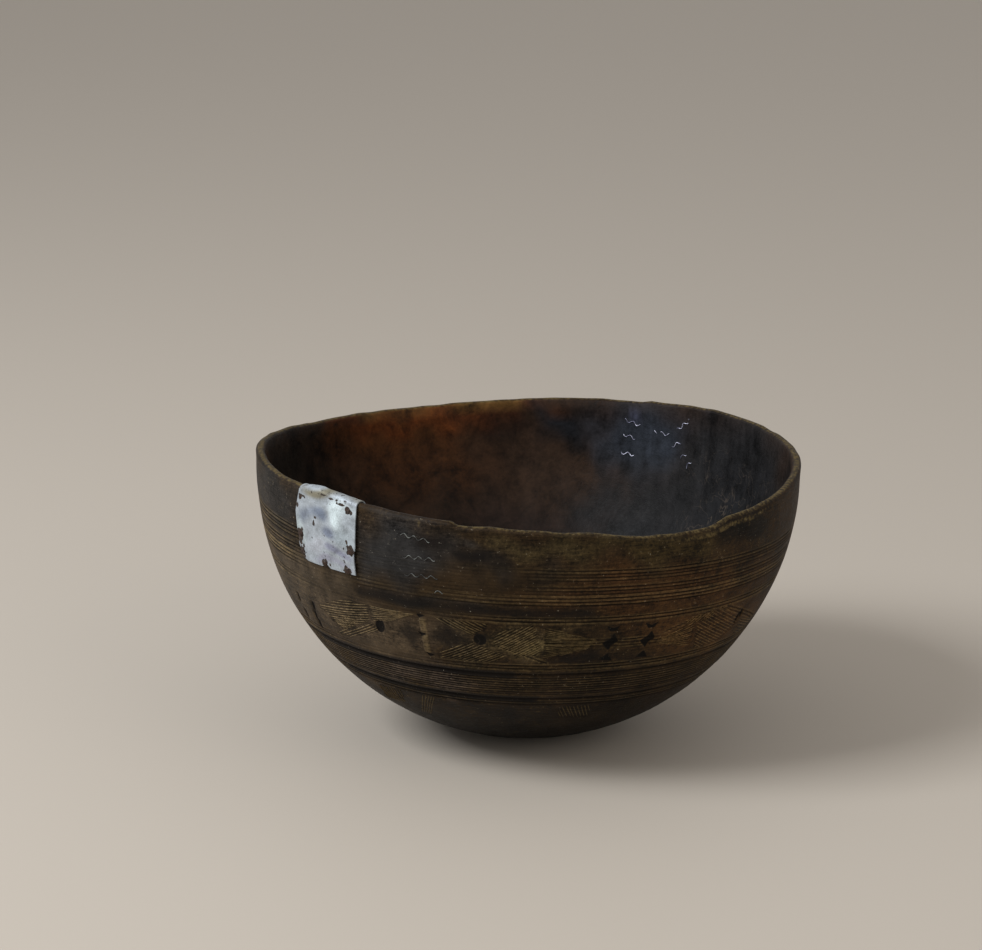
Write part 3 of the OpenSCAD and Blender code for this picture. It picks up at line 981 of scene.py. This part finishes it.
def clipped(outline, mid, slope, offset):
    """The parts of one line that lie inside an outline."""
    along = np.array([math.cos(math.radians(slope)), math.sin(math.radians(slope))])
    across = np.array([-along[1], along[0]])
    hits, found = [], []
    for p, q in zip(outline, np.roll(outline, -1, axis=0)):
        a, b = p @ across - offset, q @ across - offset
        if a * b < 0:
            hits.append((p + (q - p) * a / (a - b)) @ along)
    hits = sorted(hits)
    for start, end in zip(hits[::2], hits[1::2]):
        start, end = start + jitter.uniform(0, 1.2), end - jitter.uniform(0, 1.2)
        if end - start > 3:
            ends = [along * t + across * offset for t in (start, end)]
            found.append([(x / MM_PER_DEG + mid, h) for x, h in ends])
    return found


def strokes(corners, slope, gap):
    """Parallel lines clipped to an outline, as (start, end) pairs of points in the drawing."""
    outline, mid = flattened(corners)
    across = np.array([-math.sin(math.radians(slope)), math.cos(math.radians(slope))])
    offsets = np.arange((outline @ across).min() + gap / 2, (outline @ across).max(), gap)
    offsets += jitter.uniform(-0.12, 0.12, len(offsets)) * gap
    return [pair for offset in offsets for pair in clipped(outline, mid, slope, offset)]


def fan(corners, tip, step):
    """Lines clipped to an outline that all run to one point."""
    outline, mid = flattened(corners)
    tip = np.array([(tip[0] - mid) * MM_PER_DEG, tip[1]])
    ways = np.degrees(np.arctan((outline - tip)[:, 1] / (outline - tip)[:, 0]))
    slopes = np.arange(ways.min() + step / 2, ways.max(), step)
    found = []
    for slope in slopes + jitter.uniform(-0.12, 0.12, len(slopes)) * step:
        across = np.array([-math.sin(math.radians(slope)), math.cos(math.radians(slope))])
        found += clipped(outline, mid, slope, tip @ across)
    return found


all_strokes = [pair for field in HATCHED for pair in strokes(*field)]
all_strokes += [pair for field in FANS for pair in fan(*field)]
stroke_ends = np.array(all_strokes).reshape(-1, 2)
stroke_z = level(stroke_ends[:, 0], stroke_ends[:, 1])
stroke_points = stand(polar(stroke_ends[:, 0], outer_r(stroke_z), stroke_z))
pairs = [(2 * i, 2 * i + 1) for i in range(len(all_strokes))]
hatching = mesh_object("frieze_hatching", stroke_points, [], pairs)
print(len(all_strokes), "strokes")

# %% Raised strokes on the wood


def raised_strokes():
    g = Recipe("raised_strokes", Spacing=2.4 * MM, Width=0.75 * MM, Height=0.45 * MM)
    lines = g.node("GeometryNodeMeshToCurve", {}, g["Geometry"])
    lines = g.node("GeometryNodeResampleCurve", {"mode": "LENGTH"}, Curve=lines, Length=g["Spacing"])
    nearest = g.at_wood("FLOAT_VECTOR", g.node("GeometryNodeInputPosition", {}))
    lines = g.node("GeometryNodeSetPosition", {}, Geometry=lines, Position=nearest)
    out = g.at_wood("FLOAT_VECTOR", g.node("GeometryNodeInputNormal", {}))
    lines = g.node("GeometryNodeSetCurveNormal", {"mode": "FREE"}, Curve=lines, Normal=out)
    along = g.node("GeometryNodeSplineParameter", {})
    ends = (along * (1 - along) * 14.0).clamp() * 0.8 + 0.2
    ring = g.node("GeometryNodeCurvePrimitiveCircle", {}, Resolution=6, Radius=1.0)
    flat = g.node("ShaderNodeCombineXYZ", {}, X=g["Height"], Y=g["Width"] * 0.5, Z=1.0)
    ring = g.node("GeometryNodeTransform", {}, Geometry=ring, Scale=flat)
    ridge = g.node("GeometryNodeCurveToMesh", {}, Curve=lines, Profile_Curve=ring, Scale=ends,
                   Fill_Caps=True)
    for name, kind in (("stain", "FLOAT_COLOR"), ("burn", "FLOAT")):
        under = g.node("GeometryNodeInputNamedAttribute", {"data_type": kind}, Name=name)
        ridge = g.node("GeometryNodeStoreNamedAttribute", {"data_type": kind, "domain": "POINT"},
                       Geometry=ridge, Name=name, Value=g.at_wood(kind, under))
    ridge = g.node("GeometryNodeStoreNamedAttribute", {"data_type": "FLOAT", "domain": "POINT"},
                   Geometry=ridge, Name="wear", Value=1.0)
    g.close(ridge)
    return g


raised_strokes().make(hatching, Wood=bowl, Material=wood)
print("hatching:", triangles(hatching), "triangles")
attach(hatching, "root")

# %% [markdown]
# ## Seating a piece on the wall
#
# Strips and tacks stand on the wood, outside or inside. `seat` gives the place and three directions
# there: along the wall to the viewer's right, up the wall, and out of the wood.

# %% Where a piece sits


def seat(azimuth, height, turn, inside=False):
    """Place and directions, in metres, of a spot on the wall in the bowl's frame."""
    radius = wall_r if inside else outer_r
    point = polar(azimuth, radius(height), height)
    up = polar(azimuth, radius(height + 1), height + 1) - polar(azimuth, radius(height - 1), height - 1)
    up /= np.linalg.norm(up)
    a = math.radians(azimuth)
    along = np.array([-math.sin(a), math.cos(a), 0]) * (-1 if inside else 1)
    t = math.radians(turn)
    right, rise = along * math.cos(t) + up * math.sin(t), up * math.cos(t) - along * math.sin(t)
    out = np.cross(right, rise)
    zero = stand(np.zeros(3))
    ways = [tuple(float(c) for c in (stand(way) - zero) / MM) for way in (right, rise, out)]
    place = tuple(float(c) for c in stand(point))
    return {"Place": place, "Along": ways[0], "Across": ways[1], "Out": ways[2]}


# %% [markdown]
# ## Corrugated strips
#
# Each strip is a ribbon of corrugated steel hammered edge-on into the wood across a crack, like the
# fastener for a mitre joint. A wavy line is laid on the wall and a flat section is swept along it. The
# wood has half swallowed some of them, so a slow noise lets the edge sink and rise.

# %% Driven strips
STRIP_LEN, INNER_STRIP_LEN = 22.0, 13.0
# azimuth, drop below the rim, turn in degrees, and how much of the length stands proud in mm
OUTER_STRIPS = [(-113.6, 13.8, -6, 22), (-112.5, 26.7, 2, 22), (-112.1, 38.4, 2, 22), (-108.7, 47.2, 8, 7)]
REAR_STRIPS = [(64.0, 15.7, -12, 12), (64.5, 25.8, -10, 9), (64.6, 38, -3, 10)]
SIDE_STRIPS = [(50.4, 13.9, 41, 13), (56.4, 21.6, -3, 13), (51.9, 28.2, 30, 8), (49.9, 36.3, 38, 7),
               (47.8, 41.4, 50, 5)]


def driven_strip():
    g = Recipe("driven_strip", Place=(0.0, 0.0, 0.0), Along=(1.0, 0.0, 0.0), Across=(0.0, 0.0, 1.0),
               Out=(0.0, -1.0, 0.0), Length=STRIP_LEN * MM, Shown=STRIP_LEN * MM,
               Pitch=6.6 * MM, Swing=1.05 * MM, Thickness=0.42 * MM, Depth=2.4 * MM,
               Proud=0.38 * MM, Sink=0.7 * MM)
    half = g.node("ShaderNodeCombineXYZ", {}, X=g["Length"] * 0.5)
    line = g.node("GeometryNodeCurvePrimitiveLine", {}, Start=g.vector("SCALE", half, Scale=-1.0), End=half)
    line = g.node("GeometryNodeResampleCurve", {"mode": "LENGTH"}, Curve=line, Length=0.4 * MM)
    x = g.node("ShaderNodeSeparateXYZ", {}, g.node("GeometryNodeInputPosition", {}))
    wave = g.node("ShaderNodeMath", {"operation": "SINE"}, x / g["Pitch"] * (2 * math.pi) + 1.2)
    from_mid = g.node("ShaderNodeMath", {"operation": "ABSOLUTE"}, x)
    swallowed = (from_mid - g["Shown"] * 0.5) * 1.5
    swallowed = g.node("ShaderNodeMath", {"operation": "MAXIMUM"}, swallowed, 0.0)
    swallowed = g.node("ShaderNodeMath", {"operation": "MINIMUM"}, swallowed, 1.2 * MM)
    line = g.node("GeometryNodeCaptureAttribute", {}, Geometry=line)
    line.socket.node.capture_items.new("FLOAT", "swallowed")
    g.plug(line.socket.node.inputs[1], swallowed)
    kept = Value(g, line.socket.node.outputs[1])
    line = g.node("GeometryNodeSetPosition", {}, Geometry=line, Position=g.place(x, wave * g["Swing"], 0.0))
    nearest = g.at_wood("FLOAT_VECTOR", g.node("GeometryNodeInputPosition", {}))
    line = g.node("GeometryNodeSetPosition", {}, Geometry=line, Position=nearest)
    here = g.node("GeometryNodeInputPosition", {})
    slow = g.node("ShaderNodeTexNoise", {}, Vector=here, Scale=170.0, Detail=1.0)
    lift = g["Proud"] - g["Depth"] * 0.5 - g["Sink"] * slow.above(0.52, 0.2) - kept
    line = g.node("GeometryNodeSetPosition", {}, Geometry=line,
                  Offset=g.vector("SCALE", g["Out"], Scale=lift))
    line = g.node("GeometryNodeSetCurveNormal", {"mode": "FREE"}, Curve=line, Normal=g["Out"])
    section = g.node("GeometryNodeCurvePrimitiveQuadrilateral", {}, Width=g["Depth"], Height=g["Thickness"])
    g.close(g.node("GeometryNodeCurveToMesh", {}, Curve=line, Profile_Curve=section, Fill_Caps=True))
    return g


def strip_steel(name, dull, bright, roughness):
    f = Finish(name, {"Metallic": 0.6, "Specular IOR Level": 0.4})
    grime, fine = f.noise(260, 3, 0.6), f.noise(1400, 3, 0.6)
    f.set("Base Color", f.blend(grime.above(0.40, 0.25), dull, bright))
    f.set("Roughness", (roughness + grime * 0.3).clamp())
    f.set("Normal", f.bump(fine, 0.25, 0.0004))
    return f.material


greased_steel = strip_steel("greased_strip_steel", tone(0.20, 0.20, 0.195), tone(0.46, 0.47, 0.46), 0.45)
bright_steel = strip_steel("bright_strip_steel", tone(0.42, 0.42, 0.50), tone(0.88, 0.88, 0.96), 0.3)
strip_recipe = driven_strip()
groups = [("outer_strip", OUTER_STRIPS, False, STRIP_LEN),
          ("rear_strip", REAR_STRIPS, True, INNER_STRIP_LEN),
          ("side_strip", SIDE_STRIPS, True, INNER_STRIP_LEN)]
strip_count = 0
for group, places, inside, length in groups:
    for i, (azimuth, drop, turn, shown) in enumerate(places, 1):
        where = seat(azimuth, cad_rim(azimuth) - drop, turn, inside)
        strip = mesh_object("driven_" + group + "_" + str(i), [], [])
        strip_recipe.make(strip, Wood=bowl, Material=bright_steel if inside else greased_steel,
                          Length=length * MM, Shown=shown * MM, **where)
        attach(strip, "root")
        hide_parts(group + "_" + str(i))
        strip_count += 1
print(strip_count, "strips, the last with", triangles(strip), "triangles")

# %% [markdown]
# ## The tin patch
#
# The patch is a scrap of tin cut with snips, folded over the lip and hammered down. It is built as one
# sheet that runs up the outside, round the fold and down the inside. Its edges are torn round the
# tacks, its face is dented, and a list places each torn or rusted spot.

# %% Shape of the sheet
SHEET_T, SHEET_GAP = 0.8, 0.3
PATCH_TUCK = 26.0
LEFT_EDGE = [(138, -143), (150, -144), (172, -144.5), (190, -143)]      # height, azimuth
RIGHT_EDGE = [(138, -127.5), (154, -127.5), (158, -127), (190, -126.5)]
# share of the width, height
BOTTOM_EDGE = [(0, 142), (0.1, 140), (0.4, 140), (0.48, 142.5), (0.56, 140), (1, 140)]
TIN_GROUND = (0.62, 0.65, 0.68)
TIN_STAINS_LIGHT_AND_SHADE = [
    # Painted light on the dented face: the pale spots are painted highlights, the blue-grey ones painted
    # shade. The last, beige spot is the corroded fold.
    (-131.5, 176, 3.4, 7, (0.86, 0.92, 0.94), 0.9), (-138.5, 174, 3.0, 6, (0.43, 0.47, 0.54), 0.95),
    (-134, 164, 5, 4.5, (0.45, 0.485, 0.56), 0.95), (-129.5, 166, 2.5, 6, (0.68, 0.73, 0.76), 0.7),
    (-137.5, 152, 5, 5, (0.70, 0.72, 0.76), 0.85), (-131.5, 153, 3, 4, (0.48, 0.49, 0.57), 0.85),
    (-134, 144, 5, 3.5, (0.58, 0.585, 0.65), 0.8), (-142.7, 164, 1.5, 12, (0.69, 0.74, 0.75), 0.8),
    (-135.8, 191, 12, 5, (0.46, 0.44, 0.37), 0.95),
]
FOLD_RISE = [(0, -0.3), (0.1, 0.2), (0.35, 1.7), (0.7, 1.1), (0.92, -0.2), (1, -0.4)]
TEARS = [  # spots at the edge, where the sheet is also pressed in: azimuth, height, half sizes in mm
    (-128.4, 156.0, 3.2, 3.4), (-129.6, 141.6, 2.6, 3.0), (-135.9, 143.0, 2.6, 2.0),
    (-143.3, 144.5, 2.6, 4.0), (-143.6, 156.5, 3.0, 5.0)]
SCABS = TEARS + [
    (-128.4, 181.5, 2.8, 1.6), (-130.6, 184.6, 2.8, 0.9), (-142.4, 183.0, 2.6, 0.8),
    (-133.2, 186.6, 2.6, 0.6), (-136.0, 187.6, 2.4, 0.5), (-138.6, 167.5, 0.9, 1.8),
    (-138.0, 171.5, 1.2, 0.8), (-143.8, 176.0, 1.4, 1.2)]
RIM_MM_PER_DEG = 3.1
dents, crumple = Wander(51, 44, 16), Wander(52, 110, 5)
ACROSS, UP, FOLD_ROWS, DOWN_ROWS = 84, 96, 14, 30


def sheet_point(u, v, side):
    """A point of the sheet: u across it, v in rows from its lower edge, side -1 inside and 1 outside."""
    low_edge = np.interp(u, *zip(*BOTTOM_EDGE))
    out, turned = np.clip(v / UP, 0, 1), np.clip((v - UP) / FOLD_ROWS, 0, 1)
    tucked = np.clip((v - UP - FOLD_ROWS) / DOWN_ROWS, 0, 1)
    shoulder = rim_z(PATCH_AZ + (u - 0.5) * PATCH_TURN) - LIP_DROP + np.interp(u, *zip(*FOLD_RISE))
    z = low_edge + (shoulder - low_edge) * out - (PATCH_TUCK - LIP_DROP) * tucked
    left, right = np.interp(z, *zip(*LEFT_EDGE)), np.interp(z, *zip(*RIGHT_EDGE))
    azimuth = left + (right - left) * u
    work = 0.42 * dents(azimuth, z) + 0.14 * crumple(azimuth, z)
    near_edge = soft(np.minimum(np.minimum(u, 1 - u) * 10, out * 8 + 0.05))
    work = 0.35 + work * near_edge + 0.25 * (1 - near_edge)
    for az, h, *_ in TEARS:
        far = np.hypot(turn_between(azimuth, az) * RIM_MM_PER_DEG, z - h)
        work = work - 0.45 * soft(1 - far / 6)
    lift = SHEET_GAP + SHEET_T * (side + 1) / 2 + np.maximum(work, 0.02)
    t = turned * math.pi
    r_out = outer_r(z) + lift
    r_in = wall_r(z) - lift
    r_fold = BOWL_R - RIM_WALL / 2 + (RIM_WALL / 2 + lift) * np.cos(t)
    z_fold = shoulder + (LIP_DROP + lift) * np.sin(t)
    r = np.where(v <= UP, r_out, np.where(turned < 1, r_fold, r_in))
    return azimuth, r, np.where((v > UP) & (turned < 1), z_fold, z)


def tin_sheet():
    """Both faces of the sheet and the cut edge between them."""
    u, v = np.meshgrid(np.linspace(0, 1, ACROSS), np.arange(UP + FOLD_ROWS + DOWN_ROWS + 1))
    points, marks, tints = [], [], []
    for side in (1, -1):
        azimuth, r, z = sheet_point(u, v, side)
        points.append(stand(polar(azimuth, r, z)).reshape(-1, 3))
        spread = np.zeros_like(z)
        for az, h, half_w, half_h in SCABS:
            ragged = 1 + 0.35 * crumple(azimuth * 3, z * 3)
            far = np.hypot(turn_between(azimuth, az) * RIM_MM_PER_DEG / half_w, (z - h) / half_h) * ragged
            spread = np.maximum(spread, soft((1.5 - far) / 0.8) * (v <= UP + 4))
        spread = np.maximum(spread, 0.34 * soft(1.3 - np.abs(v - UP - 4) / 8))
        marks.append(spread.ravel())
        tints.append(stain(azimuth, z, TIN_GROUND, TIN_STAINS_LIGHT_AND_SHADE).reshape(-1, 3))
    tall, n = u.shape
    count = tall * n
    faces = []
    for i in range(tall - 1):
        for j in range(n - 1):
            a, b = i * n + j, (i + 1) * n + j
            faces += [(a, a + 1, b + 1, b), (a + count, b + count, b + 1 + count, a + 1 + count)]
    edge = list(range(n)) + [i * n + n - 1 for i in range(1, tall)]
    edge += [(tall - 1) * n + j for j in range(n - 2, -1, -1)] + [i * n for i in range(tall - 2, 0, -1)]
    faces += [(b, a, a + count, b + count) for a, b in zip(edge, edge[1:] + edge[:1])]
    return np.concatenate(points), faces, np.concatenate(marks), np.concatenate(tints)


sheet_points, sheet_faces, sheet_marks, sheet_tints = tin_sheet()
patch = mesh_object("tin_rim_patch", sheet_points, sheet_faces)
shade_smooth(patch)
patch.data.set_sharp_from_angle(angle=math.radians(50))
paint(patch, "scab", sheet_marks)
paint(patch, "stain", sheet_tints)
print("tin patch:", triangles(patch), "triangles")

# %% Weathered tin


def weathered_tin():
    f = Finish("weathered_tin", {"Specular IOR Level": 0.4})
    cloud, smear = f.noise(38, 4, 0.55, twist=0.6), f.noise(120, 5, 0.62, twist=0.3)
    fine, pits = f.noise(1100, 4, 0.6), f.noise(360, 5, 0.68)
    scab = (f.attribute("scab") + (pits - 0.5) * 1.6).above(0.46, 0.16)
    flake = (pits * 0.55 + smear * 0.45).above(0.60, 0.05)
    rust = (scab + flake * 0.8).clamp()
    shade = 1 + (cloud - 0.5) * 0.7 + (smear - 0.5) * 1.5 + (fine - 0.5) * 0.9
    # The vertex colour carries the painted highlights and shade of the dented face.
    tint = f.attribute("stain", colour=True)
    tin = f.node("ShaderNodeVectorMath", {"operation": "SCALE"}, tint, Scale=shade)
    brown = f.blend(fine.above(0.4, 0.25), tone(0.15, 0.125, 0.115), tone(0.31, 0.26, 0.22))
    f.set("Base Color", f.blend(rust, tin, brown))
    f.set("Metallic", (0.2 - rust * 0.2).clamp())
    f.set("Roughness", (0.5 + rust * 0.35 + (smear - 0.5) * 0.5).clamp())
    f.set("Normal", f.bump(smear * 0.9 + pits * 0.5 + fine * 0.15 - rust * 0.5, 0.6, 0.0008))
    return f.material


patch.data.materials.append(weathered_tin())
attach(patch, "root")
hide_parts("rim_patch")

# %% [markdown]
# ## Tacks
#
# Nine iron tacks hold the patch. Their heads were hammered, so none is round. One tree makes them all:
# a ball flattened to a head, roughened by noise, over a short shank, seated on the sheet.

# %% Hammered tacks
PATCH_NAILS = [(0.98, 0.67), (0.78, 1), (-0.04, 0.98), (-0.96, 0.91), (-0.98, 0.62), (0.9, 0), (-0.9, 0.03)]
INNER_NAILS = [(-0.7, 0.5), (0.7, 0.4)]
NAIL_INSET, NAIL_TOP, PATCH_DROP = 3.2, 9.0, 53.0
FOLD_Z = 191.5  # top of the fold, which the tacks are set out from
TACK_SEAT = 1.15  # how far the sheet lifts the heads off the wood


def tack():
    g = Recipe("hammered_tack", Place=(0.0, 0.0, 0.0), Along=(1.0, 0.0, 0.0), Across=(0.0, 0.0, 1.0),
               Out=(0.0, -1.0, 0.0), Head=4.6 * MM, Rise=1.0 * MM, Seat=TACK_SEAT * MM,
               Shank=1.6 * MM, Length=3.6 * MM, Dent=0.35, Seed=0.0)
    ball = g.node("GeometryNodeMeshUVSphere", {}, Segments=24, Rings=12, Radius=1.0)
    here = g.node("GeometryNodeInputPosition", {})
    rough = g.node("ShaderNodeTexNoise", {"noise_dimensions": "4D"}, Vector=here, W=g["Seed"], Scale=0.9)
    size = 1 + g["Dent"] * (rough - 0.5) * 2
    x, y, z = (g.node("ShaderNodeSeparateXYZ", {}, here, output=i) for i in range(3))
    top = g.node("ShaderNodeMath", {"operation": "MAXIMUM"}, z, -0.15)
    radius = g["Head"] * 0.5
    head_point = g.place(x * radius * size, y * radius * size, g["Seat"] + top * g["Rise"] * size)
    ball = g.node("GeometryNodeSetPosition", {}, Geometry=ball, Position=head_point)
    stem = g.node("GeometryNodeMeshCone", {}, Vertices=12, Radius_Top=1.0, Radius_Bottom=0.2, Depth=1.0)
    stem_point = g.place(x * g["Shank"] * 0.5, y * g["Shank"] * 0.5, g["Seat"] - (1.0 - z) * g["Length"])
    stem = g.node("GeometryNodeSetPosition", {}, Geometry=stem, Position=stem_point)
    both = g.tree.nodes.new("GeometryNodeJoinGeometry")
    for part in (ball, stem):
        g.tree.links.new(part.socket, both.inputs[0])
    g.close(Value(g, both.outputs[0]))
    return g


def rusty_iron():
    f = Finish("rusty_iron", {"Specular IOR Level": 0.4})
    scale, fine = f.noise(420, 4, 0.6), f.noise(1500, 4, 0.6)
    bare = scale.above(0.56, 0.14)
    rust = f.blend(fine.above(0.4, 0.25), tone(0.10, 0.075, 0.06), tone(0.26, 0.17, 0.115))
    f.set("Base Color", f.blend(bare, rust, tone(0.46, 0.44, 0.43)))
    f.set("Metallic", bare * 0.8)
    f.set("Roughness", (0.78 - bare * 0.35).clamp())
    f.set("Normal", f.bump(scale + fine * 0.4, 0.6, 0.0006))
    return f.material


iron = rusty_iron()
tack_recipe = tack()
for group, places, leg, inside in (("patch_nail", PATCH_NAILS, PATCH_DROP, False),
                                   ("inner_patch_nail", INNER_NAILS, PATCH_TUCK, True)):
    for i, (across, down) in enumerate(places, 1):
        azimuth = PATCH_AZ + across * (PATCH_TURN / 2 - math.degrees(NAIL_INSET / BOWL_R))
        height = FOLD_Z - NAIL_TOP - down * (leg - NAIL_TOP - NAIL_INSET)
        piece = mesh_object("hammered_" + group + "_" + str(i), [], [])
        tack_recipe.make(piece, Material=iron, Seed=float(i), **seat(azimuth, height, 0, inside))
        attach(piece, "root")
        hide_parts(group + "_" + str(i))
print(len(PATCH_NAILS) + len(INNER_NAILS), "tacks of", triangles(piece), "triangles")

# %% [markdown]
# ## Floor and light
#
# A plain pale floor, a big soft light from the upper left, a weak one from the right and a pale
# surround that keeps the far floor even.

# %% Floor
FLOOR_HALF = 14.0
FLOOR_TONE = tone(0.735, 0.70, 0.655)


def floor_finish():
    f = Finish("pale_floor", {"Roughness": 0.6, "Specular IOR Level": 0.25})
    f.set("Base Color", (*FLOOR_TONE, 1))
    return f.material


corners = [(-FLOOR_HALF, -FLOOR_HALF, 0), (FLOOR_HALF, -FLOOR_HALF, 0),
           (FLOOR_HALF, FLOOR_HALF, 0), (-FLOOR_HALF, FLOOR_HALF, 0)]
floor = mesh_object("floor", corners, [(0, 1, 2, 3)])
floor.data.materials.append(floor_finish())
floor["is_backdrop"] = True

# %% Lights
LIT_SPOT = Vector((0, 0, 0.09))
SURROUND_COLOUR, SURROUND_STRENGTH = (1.0, 0.98, 0.96, 1), 0.5


def area_light(name, place, size, watts, colour):
    lamp = bpy.data.lights.new(name, "AREA")
    lamp.shape, lamp.size, lamp.energy, lamp.color = "SQUARE", size, watts, colour
    holder = bpy.data.objects.new(name, lamp)
    bpy.context.scene.collection.objects.link(holder)
    holder.location = place
    aim = LIT_SPOT - Vector(place)
    holder.rotation_euler = aim.to_track_quat("-Z", "Y").to_euler()


area_light("key", (-2.1, -1.0, 2.2), 1.3, 84, (0.94, 0.97, 1.0))
area_light("fill", (1.9, -1.8, 1.4), 1.8, 12, (1.0, 0.93, 0.84))
world = bpy.data.worlds.new("surround")
bpy.context.scene.world = world
world.use_nodes = True
background = world.node_tree.nodes["Background"]
background.inputs["Color"].default_value = SURROUND_COLOUR
background.inputs["Strength"].default_value = SURROUND_STRENGTH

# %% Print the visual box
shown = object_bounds()
print("visual box in metres:", [tuple(round(v, 4) for v in corner) for corner in shown])
